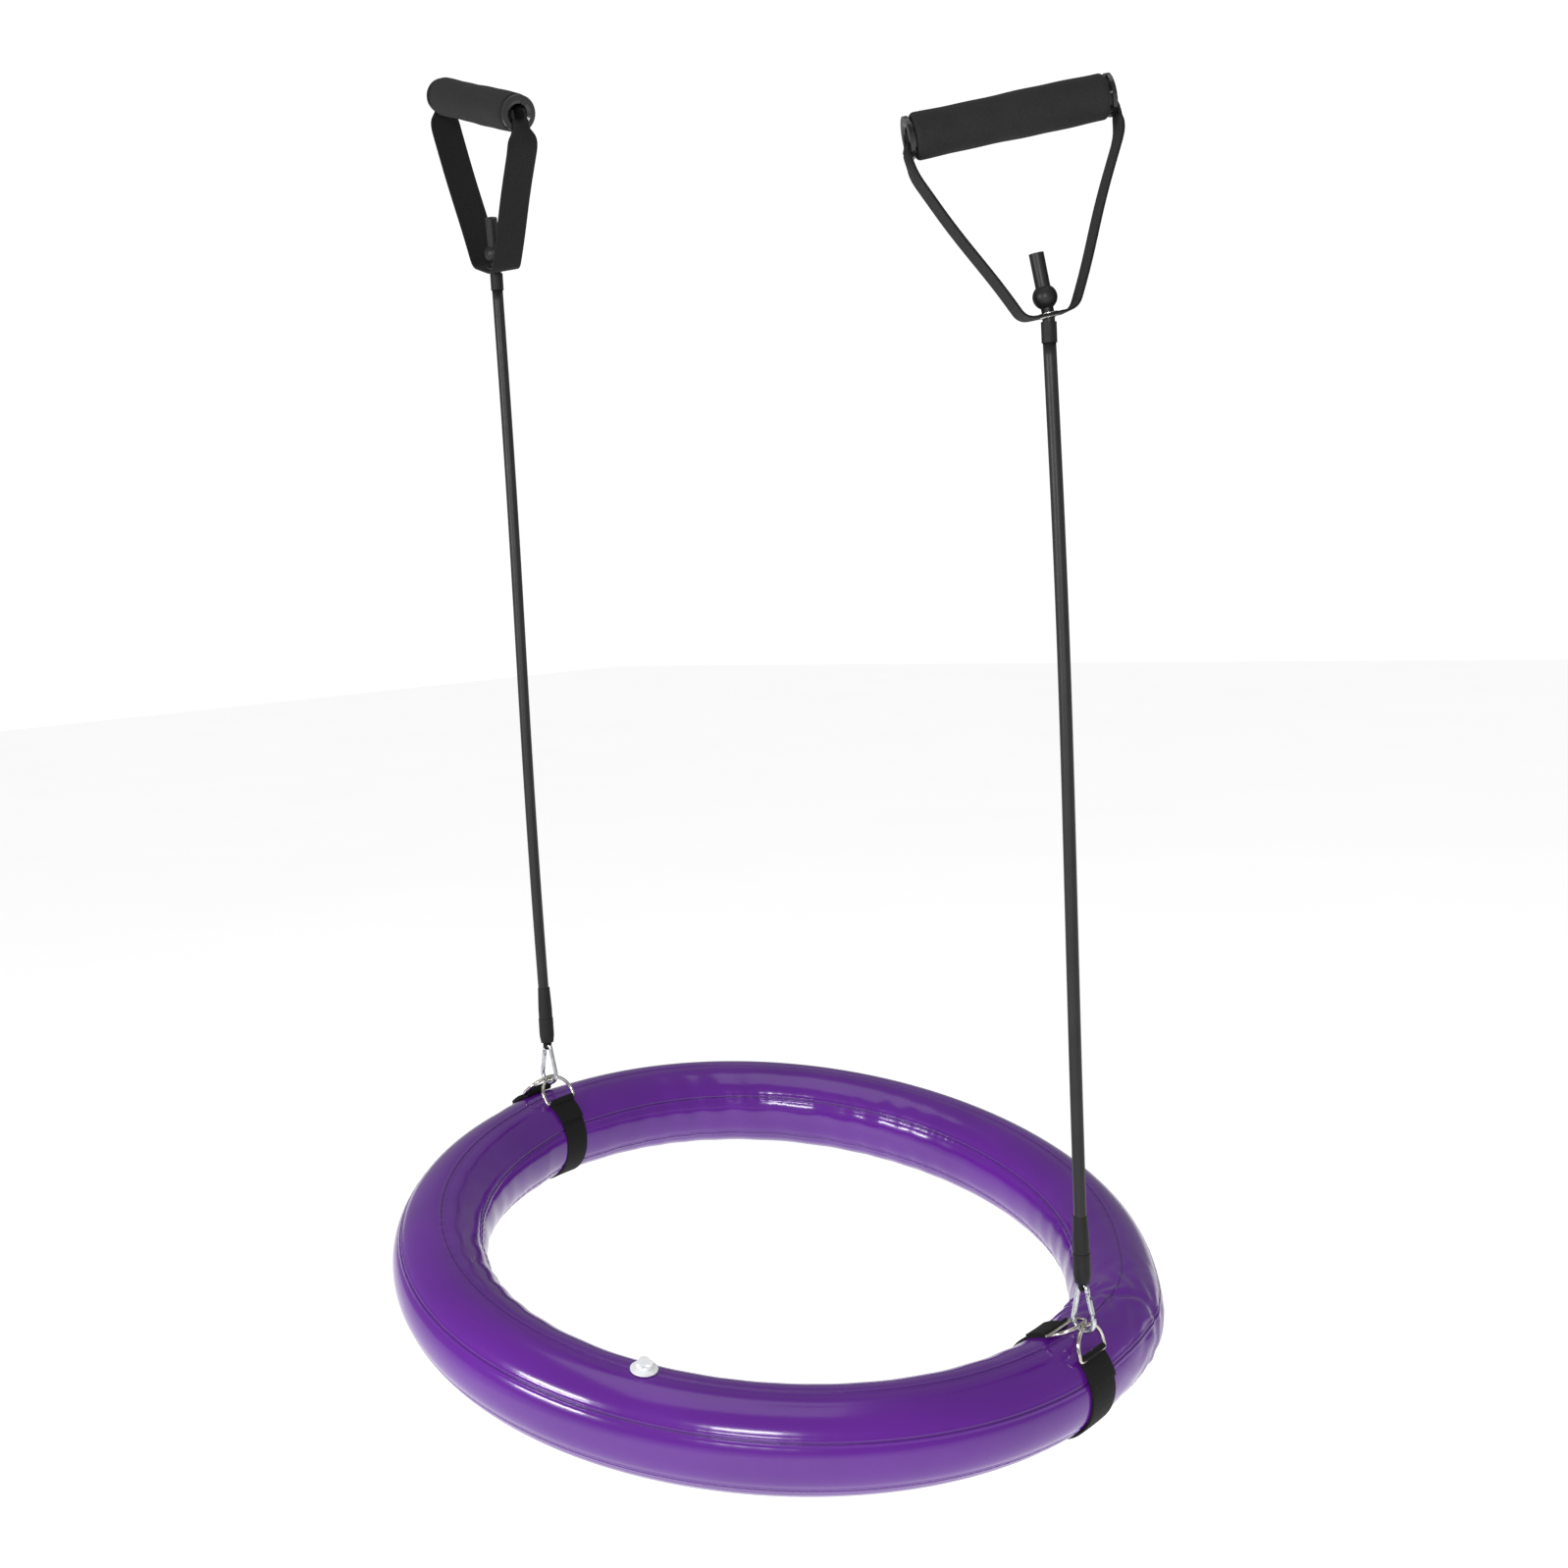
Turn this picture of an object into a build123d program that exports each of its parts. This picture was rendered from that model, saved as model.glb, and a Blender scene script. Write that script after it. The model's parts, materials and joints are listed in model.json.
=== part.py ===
"""Inflatable ring hung from two elastic pull cords, each with a foam hand grip.

Millimetres, +Z up. The origin is midway between the two grommets that the cords hang
from. +X runs towards the lower of the two handles, and the ring's plane slopes down
the same way, because the two equal cords hang from hands at different heights.
"""

import os
from math import acos, asin, atan2, cos, degrees, hypot, radians, sin, sqrt

from build123d import *

os.makedirs("parts", exist_ok=True)

# ---------------------------------------------------------------- driving dimensions
RING_RADIUS = 265.0  # centre line of the air tube
TUBE_RADIUS = 36.0
FILM = 1.2
RING_SLOPE = 11.2  # degrees down towards +X
RING_LEAN = 2.2  # degrees about the line through the two straps

CORD_DIAMETER = 9.0
COLLAR_LOW = 18.0  # below the grommet
SLEEVE_LENGTH = 27.0
BINDING_LENGTH = 21.0

WEB_WIDTH = 26.0
WEB_THICK = 1.5
FIT_GAP = 0.2

GRIP_HEIGHT = 130.0  # grip axis above the grommet
GRIP_LENGTH = 130.0
GRIP_RADIUS = 15.0
CORE_RADIUS = 10.0
CORE_BORE = 8.8
CAP_RADIUS = 14.0
CAP_BORE = 7.5
CAP_REACH = 4.6  # cap face beyond the foam
SLING_FOOT = 17.5  # half width of the sling's flat foot

BULGE_RADIUS = 8.3
BULGE_HEIGHT = 12.0
STUB_RADIUS = 5.0
STUB_TOP = 41.0
NECK_RADIUS = 4.2

GROMMET_BORE = 5.1
GROMMET_BARREL = 5.5
GROMMET_FLANGE = 6.6
GROMMET_HALF = 1.6

HOOK_WIRE = 1.8
HOOK_LENGTH = 37.0
HOOK_NARROW = 3.7  # centre-line radius of the narrow end
HOOK_WIDE = 8.2
HOOK_HEIGHT = 48.5  # hook wire above the air tube's centre line

DEE_WIRE = 1.4
DEE_HALF = 15.8
DEE_HEIGHT = 21.2
DEE_CORNER = 1.8
DEE_OFFSET = 1.8  # each dee's crown from the middle of the hook
DEE_CROWN = 4.5  # dee's crown above the hook's low wire
STRAP_EYE = 1.85  # bore of the webbing fold that holds a dee

VALVE_AZIMUTH = 290.0  # degrees round the ring from the +X strap

# Each side: name, sign along X, strap's place round the ring, strap's turn about the tube,
# cord's length from its collar to its sleeve, and the grip's heading, tilt and sideways lean
SIDES = (
    ("left", -1, 180.0, 0.0, 592.5, -15.4, -17.6, 11.0),
    ("right", 1, 0.0, 17.4, 599.5, 45.0, 9.8, 0.8),
)

# ---------------------------------------------------------------- derived frames
slope = radians(RING_SLOPE)
ring_lean = radians(RING_LEAN)
hook_span = HOOK_LENGTH - 2 * HOOK_WIRE - HOOK_NARROW - HOOK_WIDE
hook_gap = SLEEVE_LENGTH + BINDING_LENGTH + 0.7 + HOOK_WIRE  # cord's end to the hook's top wire
hook_reach = HOOK_NARROW + hook_span + HOOK_WIDE  # from the hook's top wire to its low wire

up = Vector(0, 0, 1)
level_normal = Vector(sin(slope), 0, cos(slope))
ring_x = Vector(cos(slope), 0, -sin(slope))
ring_y = Vector(0, cos(ring_lean), 0) + level_normal * sin(ring_lean)
ring_n = level_normal * cos(ring_lean) - Vector(0, sin(ring_lean), 0)


def radial(azimuth):
    """Direction out from the ring's centre, in the ring's plane."""
    turn = radians(azimuth)
    return ring_x * cos(turn) + ring_y * sin(turn)


def hook_offset(azimuth, turn):
    """The hook's low wire, from the ring's centre."""
    lift = radial(azimuth) * sin(radians(turn)) + ring_n * cos(radians(turn))
    return radial(azimuth) * RING_RADIUS + lift * HOOK_HEIGHT


grommets = {
    side: hook_offset(azimuth, turn) + up * (COLLAR_LOW + cord_length + hook_gap + hook_reach)
    for side, sign, azimuth, turn, cord_length, *pose in SIDES
}
ring_centre = (grommets["left"] + grommets["right"]) * -0.5
ring_axis = Axis(ring_centre, -ring_n)  # turns the way that tube_section planes face


def tube_section(azimuth, turn=0):
    """Plane across the air tube: local y leans outwards from the ring's normal by turn."""
    out = radial(azimuth)
    local_x = out * cos(radians(turn)) - ring_n * sin(radians(turn))
    return Plane(ring_centre + out * RING_RADIUS, x_dir=local_x, z_dir=out.cross(ring_n))


def around(radius, angle):
    """Point at an angle from the top of the air tube's section, positive outwards."""
    return (radius * sin(radians(angle)), radius * cos(radians(angle)))


def finish(builder, label):
    builder.part.label = label
    export_step(builder.part, f"parts/{label}.step")
    print(f"{label:24s} {builder.part.volume / 1000:8.2f} cm3")


# ---------------------------------------------------------------- inflatable ring
valve_plane = tube_section(VALVE_AZIMUTH)
valve_foot = valve_plane.from_local_coords((0, TUBE_RADIUS, 0))
valve_axis = Axis(valve_foot, ring_n)

with BuildPart() as ring_bladder:
    with BuildSketch(tube_section(0)):
        Circle(TUBE_RADIUS)
    revolve(axis=ring_axis)
    with BuildSketch(tube_section(0)):
        Circle(TUBE_RADIUS - FILM)
    revolve(axis=ring_axis, mode=Mode.SUBTRACT)
    with BuildSketch(Plane(valve_foot, x_dir=radial(VALVE_AZIMUTH), z_dir=ring_n)):
        Circle(5.6)
    extrude(amount=5, both=True, mode=Mode.SUBTRACT)
finish(ring_bladder, "ring_bladder")

# Valve: a flange on the film, with a stem that stands up through it
with BuildPart() as valve_stem:
    with BuildSketch(valve_plane):
        with BuildLine():
            Polyline(
                (3.0, 27.0), (5.4, 27.0), (5.4, 36.5), (9.5, 36.5),
                (9.5, 37.5), (5.0, 37.9), (5.0, 40.5), (3.0, 40.5), close=True,
            )
        make_face()
    revolve(axis=valve_axis)
finish(valve_stem, "valve_stem")

VALVE_HINGE = 7.4  # cap strap's hinge line from the valve's axis
valve_top = valve_plane.from_local_coords((0, 40.7, 0))
cap_plane = Plane(valve_top, x_dir=radial(VALVE_AZIMUTH), z_dir=ring_n)
with BuildPart() as valve_cap:
    with BuildSketch(cap_plane):
        with PolarLocations(2.6, 3, 90):
            Circle(3.7)
        Circle(4.4)
        with Locations((VALVE_HINGE / 2 + 1.2, 0)):
            Rectangle(VALVE_HINGE - 1.6, 2.6)
    extrude(amount=1.8)
    with BuildSketch(cap_plane):
        Circle(2.9)
    extrude(amount=-6)
    with BuildSketch(cap_plane.offset(-6)):
        Circle(1.9)
    extrude(amount=4.5, mode=Mode.SUBTRACT)
finish(valve_cap, "valve_cap")

# ---------------------------------------------------------------- straps and dee rings
eye_outer = STRAP_EYE + WEB_THICK
eye_reach = TUBE_RADIUS + FIT_GAP + eye_outer
STRAP_LAP = 30.0  # degrees of webbing folded back and sewn
strap_arc = degrees(WEB_WIDTH / RING_RADIUS)
strap_inner = TUBE_RADIUS + FIT_GAP


def crown_point(section, hand):
    """Centre of a dee's crown, just inside the low end of the upright hook."""
    hook_wire = section.from_local_coords((0, HOOK_HEIGHT, 0))
    outwards = section.x_dir.X / abs(section.x_dir.X)
    return hook_wire + up * DEE_CROWN + Vector(outwards * hand * DEE_OFFSET, 0, 0)


def eye_angle(section, hand):
    """Where the strap's fold holds a dee, as an angle round the tube from the section's top."""
    crown = section.to_local_coords(crown_point(section, hand))
    reach = hypot(crown.X, crown.Y)
    spread = acos((reach**2 + eye_reach**2 - DEE_HEIGHT**2) / (2 * reach * eye_reach))
    return degrees(atan2(crown.X, crown.Y) + hand * spread)


def wedge(low, high, inner, outer):
    """Part of a band round the tube between two angles from its top."""
    with BuildSketch() as band:
        with BuildLine():
            a = CenterArc((0, 0), inner, 90 - high, high - low)
            b = CenterArc((0, 0), outer, 90 - high, high - low)
            Line(a @ 0, b @ 0)
            Line(a @ 1, b @ 1)
        make_face()
    return band.sketch


for side, sign, azimuth, turn, *pose in SIDES:
    section = tube_section(azimuth, turn)
    low, high = eye_angle(section, 1), 360 + eye_angle(section, -1)
    lap_inner, lap_outer = strap_inner + WEB_THICK, strap_inner + 2 * WEB_THICK
    strap_band = wedge(low, high, strap_inner, strap_inner + WEB_THICK)
    strap_laps = [
        wedge(low, low + STRAP_LAP, lap_inner, lap_outer),
        wedge(high - STRAP_LAP, high, lap_inner, lap_outer),
    ]
    with BuildPart() as strap:
        with BuildSketch(tube_section(azimuth + strap_arc / 2, turn)):
            add(strap_band)
            add(strap_laps)
            with Locations(around(eye_reach, low), around(eye_reach, high)):
                Circle(eye_outer)
                Circle(STRAP_EYE, mode=Mode.SUBTRACT)
        revolve(axis=ring_axis, revolution_arc=strap_arc)
    finish(strap, f"{side}_strap")

    tangent = section.z_dir
    for place, hand in (("outer", 1), ("inner", -1)):
        eye = section.from_local_coords((*around(eye_reach, eye_angle(section, hand)), 0))
        rise = (crown_point(section, hand) - eye).normalized()
        dee_plane = Plane(eye, x_dir=tangent, z_dir=tangent.cross(rise))
        shoulder = DEE_HEIGHT - DEE_HALF
        with BuildPart() as dee:
            with BuildLine(dee_plane) as outline:
                Line((-DEE_HALF + DEE_CORNER, 0), (DEE_HALF - DEE_CORNER, 0))
                CenterArc((DEE_HALF - DEE_CORNER, DEE_CORNER), DEE_CORNER, -90, 90)
                Line((DEE_HALF, DEE_CORNER), (DEE_HALF, shoulder))
                CenterArc((0, shoulder), DEE_HALF, 0, 180)
                Line((-DEE_HALF, shoulder), (-DEE_HALF, DEE_CORNER))
                CenterArc((-DEE_HALF + DEE_CORNER, DEE_CORNER), DEE_CORNER, 180, 90)
            with BuildSketch(Plane(eye, z_dir=tangent)):
                Circle(DEE_WIRE)
            sweep()
        finish(dee, f"{side}_{place}_dee_ring")
        print("   dee hinge at", eye, "axis", tangent)

# ---------------------------------------------------------------- cords, hooks and handles
lean = asin((HOOK_WIDE - HOOK_NARROW) / hook_span)
spine_length = sqrt(hook_span**2 - (HOOK_WIDE - HOOK_NARROW) ** 2)
STUB_END = 1.8  # along the gate side from the narrow bend
TONGUE_END = 5.6
GATE_START = 3.0
PIVOT = 4.2
GATE_END = 17.2
NOSE_START = 17.7
LATCH_END = 18.9
PIN_RADIUS = 0.6


def along_gate(distance, height):
    """Point on the hook's gate side, measured from its narrow bend's end."""
    return (
        HOOK_NARROW * cos(lean) + distance * sin(lean),
        HOOK_NARROW * sin(lean) - distance * cos(lean) - height,
    )


for side, sign, azimuth, turn, cord_length, heading, tilt, lean_across in SIDES:
    top = grommets[side] + ring_centre
    cord_low = COLLAR_LOW + cord_length
    sleeve_low = cord_low + SLEEVE_LENGTH
    binding_low = sleeve_low + BINDING_LENGTH
    hook_top = cord_low + hook_gap
    narrow_centre = hook_top + HOOK_NARROW
    upright = Plane(top, x_dir=(1, 0, 0), z_dir=(0, -1, 0))
    cord_axis = Axis(top, (0, 0, 1))
    tip = radians(tilt)
    level = Vector(cos(radians(heading)), sin(radians(heading)), 0)
    grip_dir = level * cos(tip) + up * sin(tip)
    swung = up * cos(tip) - level * sin(tip)
    lift_dir = swung.rotate(Axis((0, 0, 0), grip_dir), lean_across) if lean_across else swung
    across = grip_dir.cross(lift_dir)
    handle = Plane(top, x_dir=grip_dir, z_dir=across)
    lift_axis = Axis(top, lift_dir)
    grip_centre = handle.from_local_coords((0, GRIP_HEIGHT, 0))
    grip_axis = Axis(grip_centre, grip_dir)
    print(side, "grommet", top, "grip centre", grip_centre, "grip axis", grip_dir)

    # Moulded end of the rubber tube: neck, bulge round the plug ball, open stub
    with BuildPart() as tube_head:
        with BuildSketch(upright):
            with Locations((0, -COLLAR_LOW)):
                Rectangle(NECK_RADIUS, COLLAR_LOW - 1, align=(Align.MIN, Align.MIN))
        revolve(axis=cord_axis)
        with BuildSketch(handle):
            with BuildLine():
                neck_top = BULGE_HEIGHT - sqrt(BULGE_RADIUS**2 - NECK_RADIUS**2)
                bulge_top = BULGE_HEIGHT + sqrt(BULGE_RADIUS**2 - STUB_RADIUS**2)
                Polyline((0, STUB_TOP), (0, -2), (NECK_RADIUS, -2), (NECK_RADIUS, neck_top))
                ThreePointArc(
                    (NECK_RADIUS, neck_top), (BULGE_RADIUS, BULGE_HEIGHT), (STUB_RADIUS, bulge_top)
                )
                Polyline((STUB_RADIUS, bulge_top), (STUB_RADIUS, STUB_TOP), (0, STUB_TOP))
            make_face()
        revolve(axis=lift_axis)
        with Locations(handle.from_local_coords((0, BULGE_HEIGHT, 0))):
            Sphere(BULGE_RADIUS - 1.6, mode=Mode.SUBTRACT)
        with BuildSketch(Plane(handle.from_local_coords((0, BULGE_HEIGHT, 0)), z_dir=lift_dir)):
            Circle(2.4)
        extrude(amount=STUB_TOP, mode=Mode.SUBTRACT)
    finish(tube_head, f"{side}_tube_head")

    with BuildPart() as plug_ball:
        with Locations(handle.from_local_coords((0, BULGE_HEIGHT, 0))):
            Sphere(BULGE_RADIUS - 1.75)
    finish(plug_ball, f"{side}_plug_ball")

    with BuildPart() as top_collar:
        with BuildSketch(upright):
            with Locations(((NECK_RADIUS + 5.25) / 2, -(COLLAR_LOW + 4.4) / 2)):
                Rectangle(5.25 - NECK_RADIUS, COLLAR_LOW - 4.4)
        revolve(axis=cord_axis)
    finish(top_collar, f"{side}_top_collar")

    # Elastic cord, then the two sleeves and the loop at its lower end
    with BuildPart() as elastic_cord:
        with BuildSketch(Plane(top - up * (cord_low + SLEEVE_LENGTH - 1.5))):
            Circle(CORD_DIAMETER / 2)
        extrude(amount=cord_length + SLEEVE_LENGTH - 1.5)
    finish(elastic_cord, f"{side}_elastic_cord")

    with BuildPart() as end_sleeve:
        with BuildSketch(upright):
            with BuildLine():
                Polyline(
                    (4.6, -cord_low), (5.1, -cord_low), (5.9, -sleeve_low + 9),
                    (5.9, -sleeve_low), (4.6, -sleeve_low), close=True,
                )
            make_face()
        revolve(axis=cord_axis)
    finish(end_sleeve, f"{side}_end_sleeve")

    with BuildPart() as binding_sleeve:
        with BuildSketch(upright):
            with BuildLine():
                Polyline(
                    (4.8, -sleeve_low), (6.3, -sleeve_low), (6.3, -binding_low + 6),
                    (5.4, -binding_low), (4.8, -binding_low), close=True,
                )
            make_face()
        revolve(axis=cord_axis)
    finish(binding_sleeve, f"{side}_binding_sleeve")

    loop_low = hook_top + HOOK_WIRE + 1.2 + 0.3
    loop_high = sleeve_low + 4
    loop_half = 3.4
    with BuildPart() as end_loop:
        with BuildLine(Plane(top, x_dir=(0, 1, 0), z_dir=(1, 0, 0))) as route:
            Line((-loop_half, -loop_high - loop_half), (-loop_half, -loop_low + loop_half))
            CenterArc((0, -loop_low + loop_half), loop_half, 180, 180)
            Line((loop_half, -loop_low + loop_half), (loop_half, -loop_high - loop_half))
            CenterArc((0, -loop_high - loop_half), loop_half, 0, 180)
        with BuildSketch(Plane(route.line @ 0, z_dir=route.line % 0)):
            Circle(1.2)
        sweep()
    finish(end_loop, f"{side}_end_loop")

    # Snap hook: a bent wire, a sprung gate on its outer side and the gate's pin
    hook_plane = Plane(top - up * narrow_centre, x_dir=(sign, 0, 0), z_dir=(0, -sign, 0))
    gate_line = Vector(sign * sin(lean), 0, -cos(lean))
    bend = degrees(lean)
    with BuildPart() as snap_hook:
        with BuildLine(hook_plane) as spine:
            Line(along_gate(NOSE_START, 0), along_gate(spine_length, 0))
            CenterArc((0, -hook_span), HOOK_WIDE, bend, -180 - 2 * bend)
            Line(
                (-HOOK_WIDE * cos(lean), -hook_span + HOOK_WIDE * sin(lean)),
                (-HOOK_NARROW * cos(lean), HOOK_NARROW * sin(lean)),
            )
            CenterArc((0, 0), HOOK_NARROW, 180 - bend, -180 + 2 * bend)
            Line(along_gate(0, 0), along_gate(STUB_END, 0))
        with BuildSketch(Plane(spine.line @ 0, z_dir=spine.line % 0)):
            Circle(HOOK_WIRE)
        sweep()
        with BuildSketch(hook_plane):
            with Locations(Location((*along_gate(TONGUE_END / 2 + 0.4, 0), 0), (0, 0, bend - 90))):
                SlotOverall(TONGUE_END - 0.8, 2.6)
        extrude(amount=0.7, both=True)
        with BuildSketch(hook_plane):
            with Locations(along_gate(PIVOT, 0)):
                Circle(PIN_RADIUS + 0.06)
        extrude(amount=2, both=True, mode=Mode.SUBTRACT)
        with BuildSketch(hook_plane):
            with Locations(Location((*along_gate(LATCH_END, 0), 0), (0, 0, bend - 90))):
                Rectangle(2.6, 8)
        extrude(amount=0.85, both=True, mode=Mode.SUBTRACT)
    finish(snap_hook, f"{side}_snap_hook")

    with BuildPart() as hook_gate:
        gate_foot = hook_plane.from_local_coords((*along_gate(GATE_START, 0), 0))
        with BuildSketch(Plane(gate_foot, z_dir=gate_line)):
            Circle(HOOK_WIRE)
        extrude(amount=GATE_END - GATE_START)
        with BuildSketch(hook_plane):
            with Locations(Location((*along_gate(TONGUE_END / 2 + 1.9, 0), 0), (0, 0, bend - 90))):
                Rectangle(4.4, 8)
        extrude(amount=0.9, both=True, mode=Mode.SUBTRACT)
        with BuildSketch(hook_plane):
            with Locations(Location((*along_gate(GATE_END, 0), 0), (0, 0, bend - 90))):
                Rectangle(3.0, 1.8)
        extrude(amount=0.6, both=True)
        with BuildSketch(hook_plane):
            with Locations(along_gate(PIVOT, 0)):
                Circle(PIN_RADIUS)
        extrude(amount=2, both=True, mode=Mode.SUBTRACT)
    finish(hook_gate, f"{side}_hook_gate")

    with BuildPart() as gate_pin:
        with BuildSketch(hook_plane):
            with Locations(along_gate(PIVOT, 0)):
                Circle(PIN_RADIUS)
        extrude(amount=1.6, both=True)
    finish(gate_pin, f"{side}_gate_pin")
    print("   gate hinge at", hook_plane.from_local_coords((*along_gate(PIVOT, 0), 0)))

    # Webbing sling: a loop through the grip, punched for the grommet
    leg_top = GRIP_LENGTH / 2 + CAP_REACH + 4.0
    with BuildPart() as handle_sling:
        with BuildSketch(handle):
            with BuildLine():
                FilletPolyline(
                    (-SLING_FOOT, 0), (SLING_FOOT, 0), (leg_top, GRIP_HEIGHT - 16),
                    (leg_top, GRIP_HEIGHT), (-leg_top, GRIP_HEIGHT), (-leg_top, GRIP_HEIGHT - 16),
                    radius=(6, 6, 8, 3, 3, 8), close=True,
                )
            make_face()
            offset(amount=WEB_THICK / 2)
            offset(amount=-WEB_THICK, mode=Mode.SUBTRACT)
        extrude(amount=WEB_WIDTH / 2, both=True)
        with BuildSketch(Plane(grip_centre, x_dir=across, z_dir=-grip_dir)) as throat:
            with BuildLine():
                Polyline(
                    (6.2, 20), (6.2, -5), (WEB_WIDTH / 2, -18), (20, -18), (20, 20), close=True,
                )
            make_face()
            mirror(about=Plane.YZ)
        extrude(amount=2 * leg_top, both=True, mode=Mode.SUBTRACT)
        with BuildSketch(Plane(top, x_dir=grip_dir, z_dir=lift_dir)):
            Circle(GROMMET_BARREL + 0.05)
        extrude(amount=5, both=True, mode=Mode.SUBTRACT)
    finish(handle_sling, f"{side}_handle_sling")

    with BuildPart() as grommet_eyelet:
        with BuildSketch(handle):
            with BuildLine():
                Polyline(
                    (GROMMET_BORE, GROMMET_HALF), (GROMMET_BORE, -GROMMET_HALF),
                    (GROMMET_FLANGE, -GROMMET_HALF), (GROMMET_FLANGE, -WEB_THICK / 2 - 0.05),
                    (GROMMET_BARREL, -WEB_THICK / 2 - 0.05), (GROMMET_BARREL, GROMMET_HALF),
                    close=True,
                )
            make_face()
        revolve(axis=lift_axis)
    finish(grommet_eyelet, f"{side}_grommet_eyelet")

    with BuildPart() as grommet_washer:
        with BuildSketch(Plane(top + lift_dir * (WEB_THICK / 2 + 0.05), x_dir=grip_dir, z_dir=lift_dir)):
            Circle(GROMMET_FLANGE)
            Circle(GROMMET_BARREL + 0.02, mode=Mode.SUBTRACT)
        extrude(amount=GROMMET_HALF - WEB_THICK / 2 - 0.05)
    finish(grommet_washer, f"{side}_grommet_washer")

    # Grip: foam sleeve on a hard core, with a flanged cap pressed into each end
    grip_start = Plane(grip_centre - grip_dir * (GRIP_LENGTH / 2), x_dir=across, z_dir=grip_dir)
    with BuildPart() as foam_grip:
        with BuildSketch(grip_start):
            Circle(GRIP_RADIUS)
        extrude(amount=GRIP_LENGTH)
        fillet(foam_grip.edges(), radius=2.5)
        with BuildSketch(grip_start):
            Circle(CORE_RADIUS + 0.1)
        extrude(amount=GRIP_LENGTH, mode=Mode.SUBTRACT)
    finish(foam_grip, f"{side}_foam_grip")

    with BuildPart() as grip_core:
        with BuildSketch(grip_start):
            Circle(CORE_RADIUS)
            Circle(CORE_BORE, mode=Mode.SUBTRACT)
        extrude(amount=GRIP_LENGTH)
    finish(grip_core, f"{side}_grip_core")

    for place, hand in (("near", 1), ("far", -1)):
        end = handle.from_local_coords((hand * GRIP_LENGTH / 2, GRIP_HEIGHT, 0))
        cap_section = Plane(end, x_dir=grip_dir * hand, z_dir=across * hand)
        with BuildPart() as grip_cap:
            with BuildSketch(cap_section):
                with BuildLine():
                    Polyline(
                        (-12, CAP_BORE), (-12, CORE_BORE - 0.1), (0.1, CORE_BORE - 0.1),
                        (0.1, CAP_RADIUS - 3), (1.8, CAP_RADIUS - 3), (1.8, CAP_RADIUS),
                        (CAP_REACH, CAP_RADIUS), (CAP_REACH, CAP_BORE + 2.5),
                        (CAP_REACH - 1.4, CAP_BORE), close=True,
                    )
                make_face()
            revolve(axis=grip_axis)
        finish(grip_cap, f"{side}_grip_cap_{place}")

print("ring centre", ring_centre, "normal", ring_n)
print("valve foot", valve_foot)
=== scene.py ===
# %% [markdown]
# An inflatable swing ring hangs from two rubber pull cords with foam hand grips. The CAD frame
# already holds every piece at its true size, so this lesson only builds the looks around it. Each
# piece is made where the frame says it is, and rides on the body that moves it.

# %% Load the frame
import json
from math import atan2, cos, exp, pi, radians, sin

import bmesh
import bpy
from mathutils import Euler, Matrix, Vector
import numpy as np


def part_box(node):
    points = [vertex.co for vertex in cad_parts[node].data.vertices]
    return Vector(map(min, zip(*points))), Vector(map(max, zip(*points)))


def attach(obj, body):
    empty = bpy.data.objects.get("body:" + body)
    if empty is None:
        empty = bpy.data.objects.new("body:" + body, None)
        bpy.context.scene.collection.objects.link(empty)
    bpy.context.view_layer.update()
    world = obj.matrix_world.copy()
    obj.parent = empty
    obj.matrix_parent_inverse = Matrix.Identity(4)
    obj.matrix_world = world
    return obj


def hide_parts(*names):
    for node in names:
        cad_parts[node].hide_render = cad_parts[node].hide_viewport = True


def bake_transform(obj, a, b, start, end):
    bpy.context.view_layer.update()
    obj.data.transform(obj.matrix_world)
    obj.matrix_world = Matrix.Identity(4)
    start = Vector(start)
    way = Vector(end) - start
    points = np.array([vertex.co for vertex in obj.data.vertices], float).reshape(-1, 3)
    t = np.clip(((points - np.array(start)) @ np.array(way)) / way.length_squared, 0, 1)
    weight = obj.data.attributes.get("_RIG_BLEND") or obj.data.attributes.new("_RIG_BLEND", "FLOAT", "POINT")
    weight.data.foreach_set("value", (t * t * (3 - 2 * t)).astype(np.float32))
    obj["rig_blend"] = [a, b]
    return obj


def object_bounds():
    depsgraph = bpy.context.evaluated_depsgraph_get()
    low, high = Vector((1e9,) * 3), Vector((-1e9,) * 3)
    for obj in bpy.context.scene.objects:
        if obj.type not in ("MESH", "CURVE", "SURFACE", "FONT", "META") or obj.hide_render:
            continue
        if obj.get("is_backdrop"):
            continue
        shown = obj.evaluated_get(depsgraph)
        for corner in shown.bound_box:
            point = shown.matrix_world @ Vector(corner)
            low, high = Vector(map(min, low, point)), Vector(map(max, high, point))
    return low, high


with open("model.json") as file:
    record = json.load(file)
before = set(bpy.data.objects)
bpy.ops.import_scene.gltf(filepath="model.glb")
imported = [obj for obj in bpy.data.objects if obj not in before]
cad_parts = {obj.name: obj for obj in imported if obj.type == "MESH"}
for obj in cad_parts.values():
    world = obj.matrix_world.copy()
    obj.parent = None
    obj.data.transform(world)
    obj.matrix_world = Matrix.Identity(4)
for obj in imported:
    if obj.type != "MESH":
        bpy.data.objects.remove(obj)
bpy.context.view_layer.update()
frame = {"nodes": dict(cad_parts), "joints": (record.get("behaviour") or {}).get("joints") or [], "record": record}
joints = {joint["name"]: joint for joint in frame["joints"]}
SIDES = ("left", "right")

# %% [markdown]
# The camera comes first, because cords are judged against what it sees. It stands a little below
# the grips and looks slightly down at the ring, with a small roll, like a hand-held view.

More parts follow.
